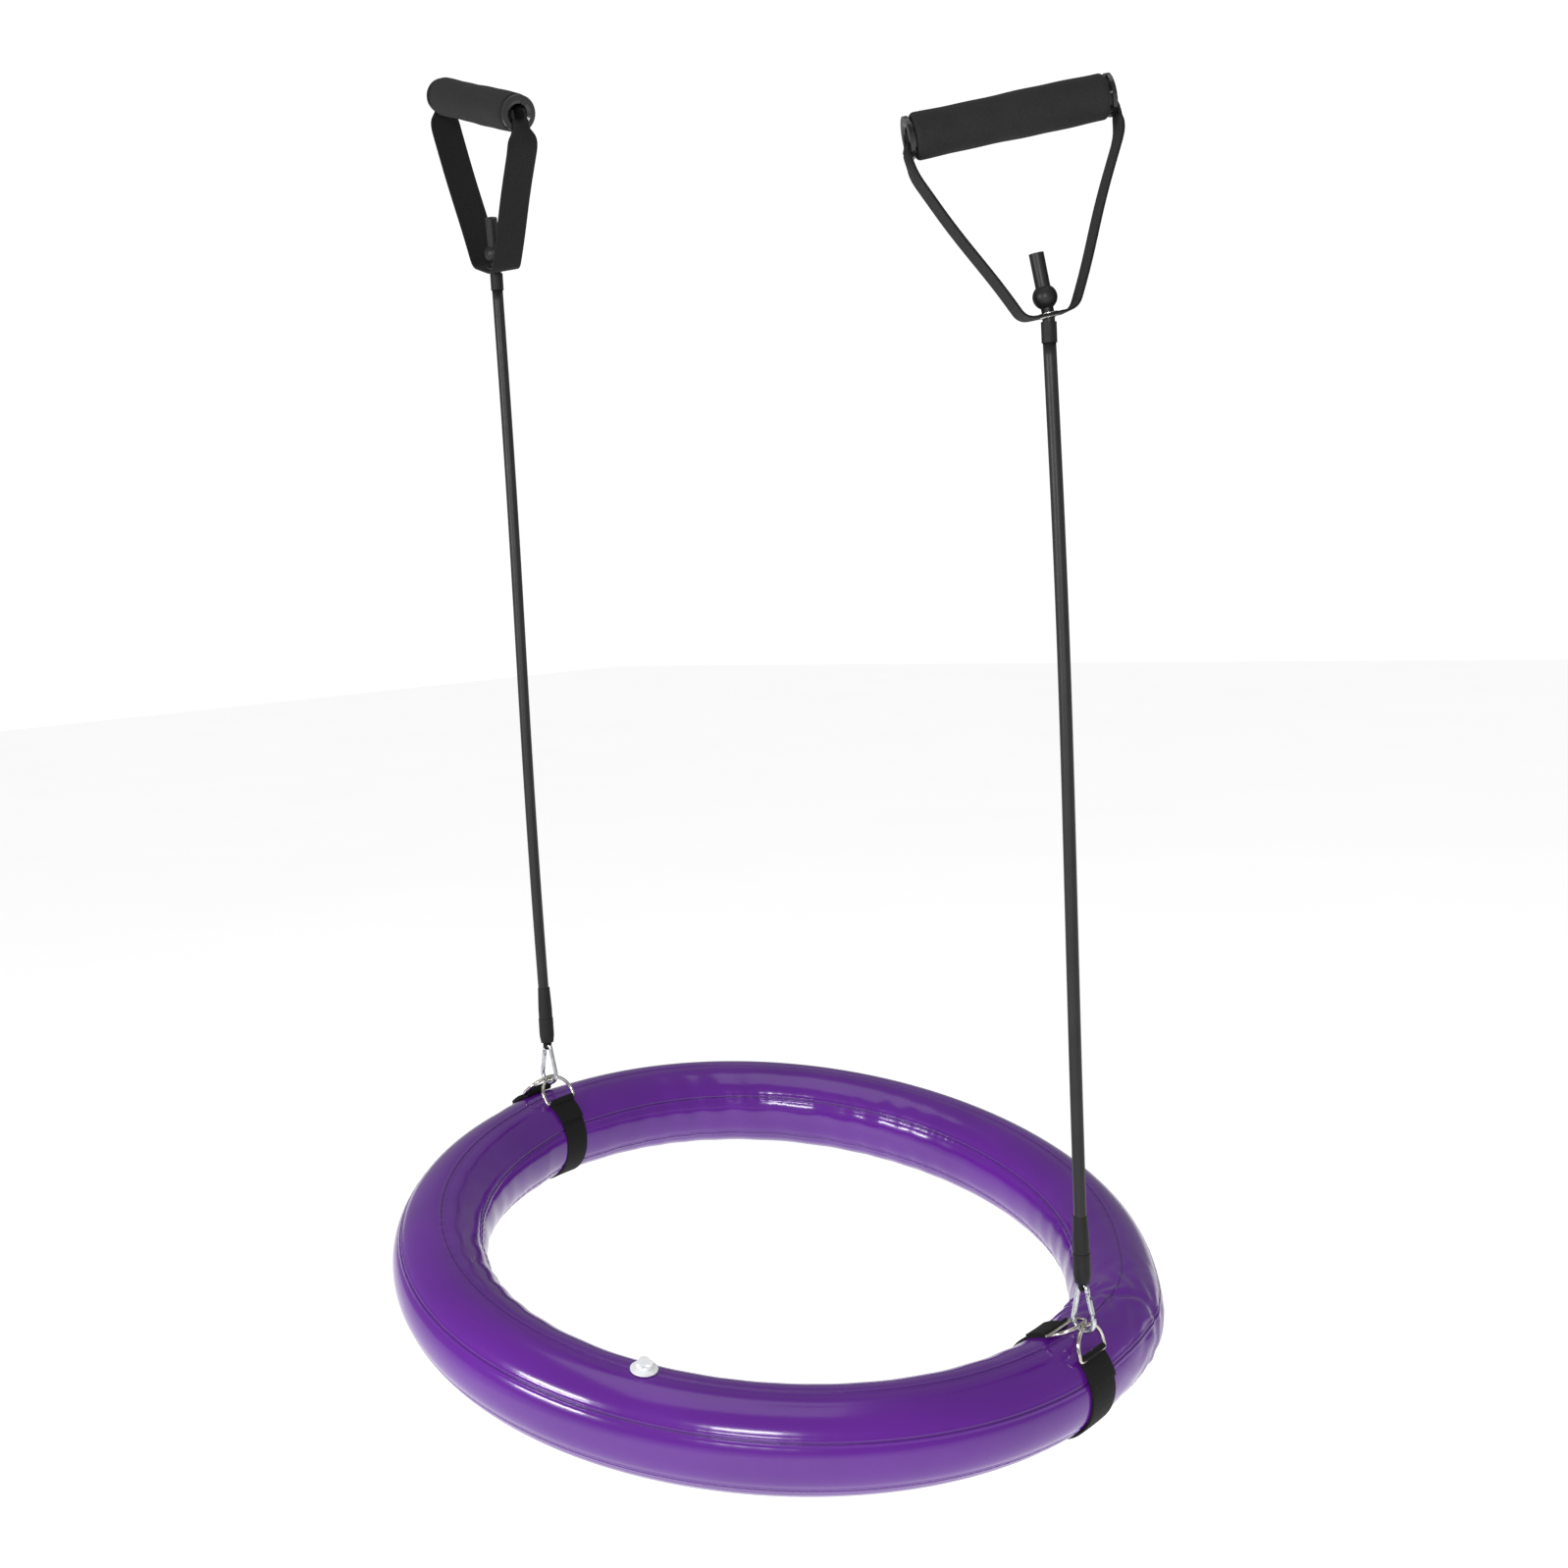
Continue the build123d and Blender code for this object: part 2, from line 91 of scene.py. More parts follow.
# %% Camera
CAMERA_PLACE = Vector((0.9726, -1.1352, -0.2024))
CAMERA_HEADING = 40.09
CAMERA_PITCH = 6.53
CAMERA_ROLL = 2.95
lens = bpy.data.cameras.new("camera")
lens.lens = 44.91
lens.sensor_width = 36
camera = bpy.data.objects.new("camera", lens)
bpy.context.scene.collection.objects.link(camera)
turn = Euler((radians(90 - CAMERA_PITCH), 0, radians(CAMERA_HEADING)), "XYZ").to_matrix()
roll = Matrix.Rotation(radians(-CAMERA_ROLL), 3, "Z")
camera.matrix_world = Matrix.Translation(CAMERA_PLACE) @ (turn @ roll).to_4x4()
bpy.context.scene.camera = camera
bpy.context.scene.view_settings.view_transform = "Standard"
print("camera looks along", (camera.matrix_world.to_3x3() @ Vector((0, 0, -1))).to_tuple(3))

# %% [markdown]
# Shader maths reads better as plain expressions. A small class wraps a node socket, and Python's
# own operators add the Math nodes. One method, node(), makes every other kind of node.

# %% A material workshop
class Value:
    """A socket that can be used in arithmetic."""

    def __init__(self, shop, socket):
        self.shop, self.socket = shop, socket

    def _math(self, operation, *inputs):
        return self.shop.node("ShaderNodeMath", {"operation": operation}, dict(enumerate(inputs)))

    def __add__(self, other):
        return self._math("ADD", self, other)

    def __mul__(self, other):
        return self._math("MULTIPLY", self, other)

    def __sub__(self, other):
        return self._math("SUBTRACT", self, other)

    def wave(self, turns):
        """Sine of this value times turns, from -1 to 1."""
        return self._math("SINE", self * turns)


class Material:
    """A Principled surface, and one method that adds any other node."""

    def __init__(self, name, **settings):
        self.made = bpy.data.materials.new(name)
        self.made.use_nodes = True
        self.tree = self.made.node_tree
        self.surface = self.tree.nodes["Principled BSDF"]
        for key, value in settings.items():
            self.surface.inputs[key.replace("_", " ")].default_value = value
        self.place = self.node("ShaderNodeTexCoord", {}, {}, "Object")

    def node(self, kind, settings, inputs, output=0):
        made = self.tree.nodes.new(kind)
        for key, value in settings.items():
            if key == "stops":
                ramp = made.color_ramp
                for element, (position, color) in zip(ramp.elements, value):
                    element.position, element.color = position, color
                continue
            setattr(made, key, value)
        for key, value in inputs.items():
            if isinstance(value, Value):
                self.tree.links.new(value.socket, made.inputs[key])
            else:
                made.inputs[key].default_value = value
        return Value(self, made.outputs[output])

    def noise(self, scale, detail=3.0):
        inputs = {"Vector": self.place, "Scale": scale, "Detail": detail}
        return self.node("ShaderNodeTexNoise", {}, inputs, "Fac")

    def ramp(self, value, *stops):
        return self.node("ShaderNodeValToRGB", {"stops": stops}, {"Fac": value}, "Color")

    def attribute(self, name):
        return self.node("ShaderNodeAttribute", {"attribute_name": name}, {}, "Fac")

    def feed(self, socket, value):
        self.tree.links.new(value.socket, self.surface.inputs[socket])

    def bump(self, height, strength, distance):
        inputs = {"Height": height, "Strength": strength, "Distance": distance}
        self.feed("Normal", self.node("ShaderNodeBump", {}, inputs, "Normal"))


def grey(level, warm=0.0):
    return (level * (1 + warm), level, level * (1 - warm), 1)


# %% [markdown]
# The ring is glossy welded vinyl. It is almost one colour, but film that is stretched differently
# varies a little in shade, and dust and handling change its gloss, so noise feeds both.

# %% Vinyl finish
def vinyl():
    m = Material("glossy_vinyl", Coat_Roughness=0.08, IOR=1.45)
    shade = m.noise(9.0, 2.0) * 0.5 + 0.35 - m.attribute("weld") * 0.22
    m.feed("Base Color", m.ramp(shade, (0.05, (0.030, 0.004, 0.085, 1)), (0.75, (0.112, 0.011, 0.265, 1))))
    m.feed("Roughness", m.noise(38.0, 4.0) * 0.08 + 0.15)
    m.feed("Coat Weight", m.noise(14.0) * 0.15 + 0.1)
    m.bump(m.noise(55.0, 2.0), 0.10, 0.0006)
    return m.made


# %% [markdown]
# Webbing is woven, so its pattern has to follow the strap round every bend. Each webbing mesh
# carries two attributes, along and across in millimetres, and the weave is made from their waves.

# %% Webbing finish
WEAVE_PITCH = 1.5
RIB_PITCH = 1.9


def webbing(name, tone):
    m = Material(name, Specular_IOR_Level=0.2)
    m.surface.inputs["Sheen Weight"].default_value = 0.02
    m.surface.inputs["Sheen Roughness"].default_value = 0.5
    along, across = m.attribute("along"), m.attribute("across")
    lean = along * (2 * pi / WEAVE_PITCH) + (across * (2 * pi / RIB_PITCH)).wave(1.0) * 1.4
    weave = lean.wave(1.0) * 0.5 + 0.5
    rib = (across * (2 * pi / RIB_PITCH)).wave(1.0) * 0.5 + 0.5
    thread = weave * 0.6 + rib * 0.4
    m.feed("Base Color", m.ramp(thread, (0.1, grey(tone * 0.5, 0.02)), (0.9, grey(tone * 1.5, 0.02))))
    m.feed("Roughness", thread * 0.12 + 0.78)
    m.bump(thread + m.noise(900.0) * 0.3, 0.55, 0.0004)
    return m.made


# %% [markdown]
# Rubber, foam and hard plastic are all nearly black. What tells them apart is how they break up
# light: latex tube is satin, foam is matt and pitted, and the moulded caps are smooth and shiny.

# %% Rubber, foam and plastic finishes
def rubber(name, tone, rough, grain):
    m = Material(name, Specular_IOR_Level=0.3)
    m.feed("Base Color", m.ramp(m.noise(30.0), (0.3, grey(tone * 0.8)), (0.75, grey(tone * 1.25))))
    m.feed("Roughness", m.noise(160.0, 4.0) * 0.16 + rough)
    m.bump(m.noise(grain, 4.0), 0.2, 0.0003)
    return m.made


def foam():
    m = Material("closed_cell_foam", Specular_IOR_Level=0.2)
    m.surface.inputs["Sheen Weight"].default_value = 0.02
    cells = m.node("ShaderNodeTexVoronoi", {}, {"Vector": m.place, "Scale": 1500.0}, "Distance")
    tone = m.noise(45.0, 3.0) * 0.6 + cells * 0.5
    m.feed("Base Color", m.ramp(tone, (0.2, grey(0.009)), (0.8, grey(0.019))))
    m.feed("Roughness", m.noise(60.0) * 0.1 + 0.82)
    m.bump(cells + m.noise(220.0) * 0.8, 0.45, 0.0005)
    return m.made


def moulded(name, low, high, rough):
    m = Material(name)
    m.feed("Base Color", m.ramp(m.noise(24.0), (0.3, grey(low)), (0.7, grey(high))))
    m.feed("Roughness", m.noise(240.0, 4.0) * 0.12 + rough)
    m.bump(m.noise(420.0), 0.08, 0.0002)
    return m.made


def translucent_vinyl():
    m = Material("milky_vinyl", IOR=1.45)
    m.surface.inputs["Subsurface Weight"].default_value = 0.5
    m.surface.inputs["Subsurface Radius"].default_value = (0.004, 0.004, 0.005)
    m.surface.inputs["Subsurface Scale"].default_value = 1.0
    m.feed("Base Color", m.ramp(m.noise(120.0), (0.3, (0.78, 0.80, 0.86, 1)), (0.7, (0.92, 0.93, 0.95, 1))))
    m.feed("Roughness", m.noise(300.0) * 0.12 + 0.24)
    m.bump(m.noise(350.0), 0.1, 0.0002)
    return m.made


# %% [markdown]
# The wire parts are plated. Plating is bright metal with fine scuffs, so noise changes only its
# roughness and, very slightly, its colour.

# %% Metal finish
def metal(name, low, high, rough):
    m = Material(name, Metallic=1.0)
    m.feed("Base Color", m.ramp(m.noise(200.0, 5.0), (0.3, low), (0.7, high)))
    m.feed("Roughness", m.noise(700.0, 5.0) * 0.14 + rough)
    m.bump(m.noise(900.0, 3.0), 0.06, 0.0001)
    return m.made


# %% [markdown]
# Rigid CAD parts already have the right shape, so they stay and only get dressed: each one takes
# the finish that its slot in the record names. The soft parts get the same finish again later, on
# the meshes that stand in for them.

# %% Dress the CAD parts
finishes = {
    "ring_film": vinyl(),
    "valve": translucent_vinyl(),
    "strap_webbing": webbing("strap_weave", 0.007),
    "handle_webbing": webbing("sling_weave", 0.008),
    "nickel": metal("nickel_plate", (0.50, 0.47, 0.43, 1), (0.68, 0.65, 0.60, 1), 0.10),
    "zinc": metal("zinc_plate", (0.42, 0.44, 0.46, 1), (0.60, 0.62, 0.64, 1), 0.18),
    "grommet_metal": metal("bright_plate", (0.75, 0.74, 0.72, 1), (0.9, 0.89, 0.87, 1), 0.12),
    "cord_rubber": rubber("latex_tube", 0.014, 0.34, 260.0),
    "sleeve_rubber": rubber("matt_sleeve", 0.006, 0.5, 420.0),
    "loop_cord": rubber("loop_cord", 0.007, 0.7, 900.0),
    "foam": foam(),
    "hard_plastic": moulded("core_plastic", 0.010, 0.02, 0.4),
    "cap_plastic": moulded("cap_plastic", 0.006, 0.012, 0.12),
}
for part in frame["record"]["subparts"]:
    node = frame["nodes"][part["node"]]
    node.data.materials.clear()
    node.data.materials.append(finishes[part["material_slot"]])

# %% [markdown]
# A few helpers do what every piece needs: turn a bmesh into an object with its finish, and place a
# local shape by three axes.

# %% Shared helpers
def settle(bm, name, body, slot, replaced):
    """Make a bmesh into a finished piece that rides on its body."""
    mesh = bpy.data.meshes.new(name)
    bm.to_mesh(mesh)
    bm.free()
    piece = bpy.data.objects.new(name, mesh)
    bpy.context.scene.collection.objects.link(piece)
    mesh.materials.append(finishes[slot])
    mesh.polygons.foreach_set("use_smooth", [True] * len(mesh.polygons))
    if body:
        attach(piece, body)
    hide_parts(*replaced)
    print(f"{name}: {len(mesh.polygons)} faces")
    return piece


def standing(x_dir, y_dir, origin):
    """Matrix from a local frame, with its third axis square to the two given."""
    z_dir = x_dir.cross(y_dir)
    return Matrix.Translation(origin) @ Matrix((x_dir, y_dir, z_dir)).transposed().to_4x4()


def spun_profile(bm, points, steps):
    """Turn a closed outline in the XZ plane about the X axis."""
    corners = [bm.verts.new((x, 0, z)) for x, z in points]
    edges = [bm.edges.new((corners[i - 1], corners[i])) for i in range(len(corners))]
    bmesh.ops.spin(
        bm, geom=corners + edges, axis=(1, 0, 0), cent=(0, 0, 0), angle=2 * pi, steps=steps,
        use_merge=True,
    )
    bmesh.ops.remove_doubles(bm, verts=bm.verts, dist=1e-7)
    bmesh.ops.recalc_face_normals(bm, faces=bm.faces)


# %% [markdown]
# Each elastic cord is a plain rubber tube that hangs straight, with a hint of bow because rubber
# keeps some memory of its coil. A bevelled curve would look right at rest, but only a mesh can
# stretch between two bodies. So a NURBS line gives a smooth route, and a circle is extruded along
# the points read back from it. The tube blends between the cord tops and the cord ends.

# %% Elastic cords
CORD_DIAMETER = 0.009
CORD_BOW = {"left": (-0.0006, 0.0012), "right": (0.0022, 0.0014)}


def route_points(name, points):
    """Points along the NURBS line that has these control points."""
    curve = bpy.data.curves.new(name, "CURVE")
    curve.dimensions = "3D"
    spline = curve.splines.new("NURBS")
    spline.points.add(len(points) - 1)
    for point, place in zip(spline.points, points):
        point.co = (*place, 1)
    spline.order_u = 3
    spline.use_endpoint_u = True
    spline.resolution_u = 12
    line = bpy.data.objects.new(name, curve)
    bpy.context.scene.collection.objects.link(line)
    bpy.context.view_layer.update()
    mesh = bpy.data.meshes.new_from_object(line)
    path = [vertex.co.copy() for vertex in mesh.vertices]
    bpy.data.objects.remove(line)
    return path


def tube_along(bm, path, radius, sides):
    """Skin a round tube along a nearly upright path, with closed ends."""
    ring = bmesh.ops.create_circle(bm, segments=sides, radius=radius)["verts"]
    bmesh.ops.translate(bm, verts=ring, vec=path[0])
    edges = list({edge for vertex in ring for edge in vertex.link_edges})
    first = edges
    for start, end in zip(path, path[1:]):
        grown = bmesh.ops.extrude_edge_only(bm, edges=edges)["geom"]
        verts = [item for item in grown if isinstance(item, bmesh.types.BMVert)]
        edges = [item for item in grown if isinstance(item, bmesh.types.BMEdge)]
        bmesh.ops.translate(bm, verts=verts, vec=end - start)
    bmesh.ops.holes_fill(bm, edges=first + edges)
    bmesh.ops.recalc_face_normals(bm, faces=bm.faces)


for side in SIDES:
    low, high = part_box(f"{side}_elastic_cord")
    middle = (low + high) / 2
    span = high.z - low.z
    bow_x, bow_y = CORD_BOW[side]
    heights = [index / 10 for index in range(11)]
    control = [
        (middle.x + bow_x * sin(pi * share), middle.y + bow_y * sin(2 * pi * share), high.z - span * share)
        for share in heights
    ]
    path = route_points(f"{side}_route", control)
    bm = bmesh.new()
    tube_along(bm, path, CORD_DIAMETER / 2, 28)
    cord = settle(bm, f"{side}_rubber_cord", None, "cord_rubber", [f"{side}_elastic_cord"])
    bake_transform(cord, "cord_tops", "cord_ends", start=(0, 0, high.z), end=(0, 0, low.z))
    print(side, "cord is", round(span, 4), "m long")

# %% [markdown]
# The air tube hangs tilted, so it is modelled flat in a frame of its own and turned into place at
# the end. The frame's normal is the way the valve cap pulls out.

# %% Ring frame
ring_n = Vector(joints["valve_cap_pull"]["axis"]).normalized()
ring_x = Vector((ring_n.z, 0, -ring_n.x)).normalized()
ring_y = ring_n.cross(ring_x)
ring_low, ring_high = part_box("ring_bladder")
ring_centre = (ring_low + ring_high) / 2
RING_RADIUS = 0.265
TUBE_RADIUS = 0.036
to_ring = standing(ring_x, ring_y, ring_centre)
print("ring centre", ring_centre.to_tuple(4), "normal", ring_n.to_tuple(4))

# %% [markdown]
# Vinyl rings are cut from flat film and welded. Six lengthwise welds pinch the film. The inner side
# puckers along them, because it has too much film for its shorter way round. One weld across the
# tube leaves a kink with creases. Sculpting could do this, but sums of sines and bell curves are
# easier to repeat and to adjust, so two functions say how far the film strays from a plain torus.

# %% Film shape
SEAMS = [radians(30 + 60 * index) for index in range(6)]
KINK = radians(17)
KINK_WIDTH = radians(9)
PINCH_DEPTH = 0.0008
PINCH_WIDTH = 0.0048
LIP_HEIGHT = 0.0006
LIP_OFFSET = 0.0013
LIP_WIDTH = 0.0006
GROOVE_DEPTH = 0.0004
GROOVE_WIDTH = 0.0005
PUCKER_HEIGHT = 0.00022
PUCKER_WIDTH = 0.004
WAVE_HEIGHT = 0.0005
CREASE_HEIGHT = 0.0012


def gap(a, b):
    """Signed angle from b to a."""
    return (a - b + pi) % (2 * pi) - pi


def bell(offset, width):
    return exp(-((offset / width) ** 2))


def ring_wander(azimuth):
    """How far the centre line strays outwards, in metres: three soft lobes and the kink."""
    lobes = 0.0026 * cos(3 * (azimuth - radians(20))) + 0.0018 * cos(2 * (azimuth - radians(110)))
    held = min(1.0, abs(sin(azimuth)) * 6)
    return lobes * held + 0.0045 * bell(gap(azimuth, radians(22)), radians(9)) * held


def film_height(azimuth, angle):
    """How far the film stands from the plain tube, in metres; angle 0 is outwards, 90 the top."""
    height = 0.0
    inner = 0.5 - 0.5 * cos(angle)
    for number, seam in enumerate(SEAMS):
        offset = gap(angle, seam) * TUBE_RADIUS
        pucker = sin(azimuth * (150 + 14 * number) + 3 * sin(azimuth * 11 + number))
        loose = 0.35 + 0.65 * (0.5 + 0.5 * sin(azimuth * (5 + number) + number * 2.1))
        lips = bell(offset - LIP_OFFSET, LIP_WIDTH) + bell(offset + LIP_OFFSET, LIP_WIDTH)
        height -= PINCH_DEPTH * bell(offset, PINCH_WIDTH)
        height += LIP_HEIGHT * lips
        height -= GROOVE_DEPTH * bell(offset, GROOVE_WIDTH)
        crinkle = PUCKER_HEIGHT * pucker * loose * bell(offset, PUCKER_WIDTH)
        height += crinkle * (0.3 + 1.1 * inner)
    waves = sin(azimuth * 46 + 2 * sin(azimuth * 7) + angle * 2.0)
    height += WAVE_HEIGHT * waves * inner**3 * (0.6 + 0.4 * sin(azimuth * 3 + 1))
    kink = gap(azimuth, KINK + 0.05 * sin(2 * angle))
    height -= 0.0016 * bell(kink, radians(0.9))
    height += 0.0006 * bell(kink, radians(2.4))
    fan = sin(angle * 13 + 2.0 * sin(azimuth * 40)) * bell(kink, KINK_WIDTH)
    height += CREASE_HEIGHT * fan * (0.35 + 0.65 * inner)
    return height


# %% [markdown]
# The tube itself is one circle, spun once round the ring's axis. The vertices are drawn together
# near the welds, where the film bends most, and then moved by the two functions. Each vertex also
# keeps how close it is to a weld, which the finish uses to darken the line.

# %% Air tube
AROUND = 600
SECTION = 144
CLUSTER = 0.72
WELD_LINE = 0.0009
bm = bmesh.new()
circle = bmesh.ops.create_circle(bm, segments=SECTION, radius=TUBE_RADIUS)["verts"]
bmesh.ops.rotate(bm, verts=circle, matrix=Matrix.Rotation(pi / 2, 3, "X"))
bmesh.ops.translate(bm, verts=circle, vec=(RING_RADIUS, 0, 0))
bmesh.ops.spin(
    bm, geom=bm.verts[:] + bm.edges[:], axis=(0, 0, 1), cent=(0, 0, 0), angle=2 * pi,
    steps=AROUND, use_merge=True,
)
weld = bm.verts.layers.float.new("weld")
for vertex in bm.verts:
    azimuth = atan2(vertex.co.y, vertex.co.x)
    out = vertex.co.xy.length - RING_RADIUS
    angle = atan2(vertex.co.z, out)
    angle -= CLUSTER / 6 * sin(6 * (angle - SEAMS[0]))
    vertex[weld] = max(bell(gap(angle, seam) * TUBE_RADIUS, WELD_LINE) for seam in SEAMS)
    reach = TUBE_RADIUS + film_height(azimuth, angle)
    distance = RING_RADIUS + ring_wander(azimuth) + reach * cos(angle)
    vertex.co = (distance * cos(azimuth), distance * sin(azimuth), reach * sin(angle))
bmesh.ops.remove_doubles(bm, verts=bm.verts, dist=1e-6)
bmesh.ops.recalc_face_normals(bm, faces=bm.faces)
bm.transform(to_ring)
air_tube = settle(bm, "air_tube", "ring", "ring_film", ["ring_bladder"])

# %% [markdown]
# Webbing is a flat band that bends only one way, so a line of vertices drawn along its middle and
# swept sideways makes it. The line carries its own length as an attribute, which the sweep copies.

# %% Webbing maker
WEB_WIDTH = 0.026
WEB_THICK = 0.0015


def path_line(bm, points):
    """Edges through the points, each vertex marked with its distance along them."""
    layer = bm.verts.layers.float.new("along")
    bm.verts.layers.float.new("across")
    corners, travelled = [], 0.0
    for index, point in enumerate(points):
        if index:
            travelled += (point - points[index - 1]).length
        corner = bm.verts.new(point)
        corner[layer] = travelled * 1000
        corners.append(corner)
    edges = [bm.edges.new(pair) for pair in zip(corners, corners[1:])]
    return corners + edges


def thicken(piece, thickness=WEB_THICK):
    solid = piece.modifiers.new("thickness", "SOLIDIFY")
    solid.thickness = thickness
    solid.offset = 0
    edge = piece.modifiers.new("soft_edges", "BEVEL")
    edge.width = 0.0003
    edge.segments = 2
    edge.limit_method = "ANGLE"


def arc(centre, radius, start, end, steps):
    """Points round a centre in a plane, angles in radians."""
    turns = [start + (end - start) * index / steps for index in range(steps + 1)]
    return [centre + radius * Vector((cos(turn), sin(turn))) for turn in turns]


# %% [markdown]
# A strap goes once round the tube and each end folds back through a dee ring, where it is lapped
# and sewn. A flat strip could be wrapped round with a modifier, but its route is known, so the
# route is drawn in the tube's own section and swept a little way round the ring. That also curves
# the strap with the tube.

# %% Straps
STRAP_LAP = radians(30)
FOLD = 0.0026
FOLD_START = 0.03
BAND_START = 0.02
BAND_RISE = 0.0011
LAP_RISE = 0.0028
for side, azimuth in (("left", pi), ("right", 0.0)):
    out = ring_x * cos(azimuth)
    hub = ring_centre + out * RING_RADIUS
    eyes = {}
    for place in ("outer", "inner"):
        arm = Vector(joints[f"{side}_{place}_dee_lift"]["pos_m"]) - hub
        eyes[place] = Vector((arm.dot(out), arm.dot(ring_n)))
    start = atan2(eyes["outer"].y, eyes["outer"].x)
    end = atan2(eyes["inner"].y, eyes["inner"].x)
    band = TUBE_RADIUS + BAND_RISE
    lap = TUBE_RADIUS + LAP_RISE
    flat = arc(Vector((0, 0)), lap, start - STRAP_LAP, start - FOLD_START, 8)
    flat += arc(eyes["outer"], FOLD, start, start + pi, 12)
    flat += arc(Vector((0, 0)), band, start - BAND_START, end + BAND_START - 2 * pi, 90)
    flat += arc(eyes["inner"], FOLD, end + pi, end, 12)
    flat += arc(Vector((0, 0)), lap, end + FOLD_START - 2 * pi, end + STRAP_LAP - 2 * pi, 8)
    bm = bmesh.new()
    turn_start = -WEB_WIDTH / RING_RADIUS / 2
    local = [Vector((RING_RADIUS + point.x, 0, point.y)) for point in flat]
    line = path_line(bm, local)
    bmesh.ops.rotate(bm, verts=bm.verts, matrix=Matrix.Rotation(turn_start, 3, "Z"))
    bmesh.ops.spin(
        bm, geom=line, axis=(0, 0, 1), cent=(0, 0, 0), angle=-2 * turn_start, steps=14,
    )
    across = bm.verts.layers.float["across"]
    for vertex in bm.verts:
        vertex[across] = atan2(vertex.co.y, vertex.co.x) * RING_RADIUS * 1000
    bm.transform(to_ring @ Matrix.Rotation(azimuth, 4, "Z"))
    strap = settle(bm, f"{side}_strap_webbing", "ring", "strap_webbing", [f"{side}_strap"])
    thicken(strap)

# %% [markdown]
# Each handle has a frame of its own: its first axis runs along the grip and its second up from the
# grommet. The joints give both, so the handles need no numbers of their own.

# %% Handle frames
GRIP_HALF = 0.065
CAP_REACH = 0.0046
handles = {}
for side in SIDES:
    foot = Vector(joints[f"{side}_handle_swivel"]["pos_m"])
    lift = Vector(joints[f"{side}_handle_swivel"]["axis"]).normalized()
    grip = Vector(joints[f"{side}_grip_spin"]["axis"]).normalized()
    centre = Vector(joints[f"{side}_grip_spin"]["pos_m"])
    handles[side] = (standing(grip, lift, foot), standing(grip, lift, centre), (centre - foot).length)
    print(side, "grip stands", round(handles[side][2], 4), "m above its grommet")

# %% [markdown]
# A handle's sling starts curled inside the grip's bore, comes out over the cap's lip and runs down
# to its flat foot, where the grommet holds it. It could be a bent box, but a real strap keeps its
# length, so it is swept from one line, and its width is rolled up only where it enters the bore.

# %% Slings
BORE_CURL = 0.0058
SLING_FOOT = 0.0175
LIP_CLEARANCE = 0.0036
SHOULDER_DROP = 0.018
CURL_START = 0.030
CURL_RUN = 0.024
LEVEL_RUN = 0.004
CUT_LENGTH = 0.004
SLACK = 0.0006


def rounded(points, radii, steps=7):
    """An open line through the points with its corners rounded, as quadratic bends."""
    made = [points[0]]
    for before, corner, after, radius in zip(points, points[1:], points[2:], radii):
        entry = corner + (before - corner).normalized() * radius
        leave = corner + (after - corner).normalized() * radius
        for index in range(steps + 1):
            t = index / steps
            made.append(entry.lerp(corner, t).lerp(corner.lerp(leave, t), t))
    made.append(points[-1])
    return made


def divided(points, longest):
    """The same line with its long runs cut, so that it can curl."""
    made = [points[0]]
    for start, end in zip(points, points[1:]):
        cuts = max(1, round((end - start).length / longest))
        made += [start.lerp(end, index / cuts) for index in range(1, cuts + 1)]
    return made


for side in SIDES:
    to_foot, to_grip, rise = handles[side]
    reach = GRIP_HALF + CAP_REACH + LIP_CLEARANCE
    bore = rise - BORE_CURL
    half = [
        Vector((SLING_FOOT, 0, 0)), Vector((reach, rise - SHOULDER_DROP, 0)),
        Vector((reach - 0.0005, bore - 0.0004, 0)), Vector((0.040, bore, 0)),
    ]
    corners = [Vector((-point.x, point.y, 0)) for point in reversed(half)] + half
    bends = (0.004, 0.010, 0.007, 0.007, 0.010, 0.004)
    line = divided(rounded(corners, bends), CUT_LENGTH)
    bm = bmesh.new()
    geometry = path_line(bm, line)
    bmesh.ops.translate(bm, verts=bm.verts, vec=(0, 0, -WEB_WIDTH / 2))
    bmesh.ops.spin(
        bm, geom=geometry, axis=(0, 0, 1), cent=(0, 0, 0), dvec=(0, 0, WEB_WIDTH / 16),
        angle=0, steps=16,
    )
    across = bm.verts.layers.float["across"]
    for vertex in bm.verts:
        sideways = vertex.co.z
        vertex[across] = sideways * 1000
        depth = (vertex.co.y - (rise - CURL_START)) / CURL_RUN
        share = max(0.0, min(1.0, depth))
        share = share * share * (3 - 2 * share)
        if share > 0:
            radius = BORE_CURL / share
            swing = sideways / radius
            inwards = -1 if vertex.co.x > 0 else 1
            level = max(0.0, min(1.0, (reach - abs(vertex.co.x)) / LEVEL_RUN))
            dip = radius * (1 - cos(swing))
            vertex.co.z = radius * sin(swing)
            vertex.co.y += dip * level
            vertex.co.x += inwards * dip * (1 - level) * 0.35
        vertex.co.x += SLACK * sin(vertex.co.y * 70) * (1 - share)
    bm.transform(to_foot)
    sling = settle(bm, f"{side}_sling_webbing", f"{side}_handle", "handle_webbing", [f"{side}_handle_sling"])
    thicken(sling)

# %% [markdown]
# The foam sleeve is a thick soft tube with rounded shoulders. A cylinder with bevelled ends would
# do, but one spun outline gives the bore and the shoulders together. Foam is never quite true, so
# its skin then wanders by a fraction of a millimetre.

# %% Foam grips
GRIP_RADIUS = 0.015
GRIP_BORE = 0.0102
SHOULDER = 0.0028
SHOULDER_STEPS = 6
GRIP_RUNS = 40
SKIN_DEPTH = 0.0025
WANDER = 0.0002

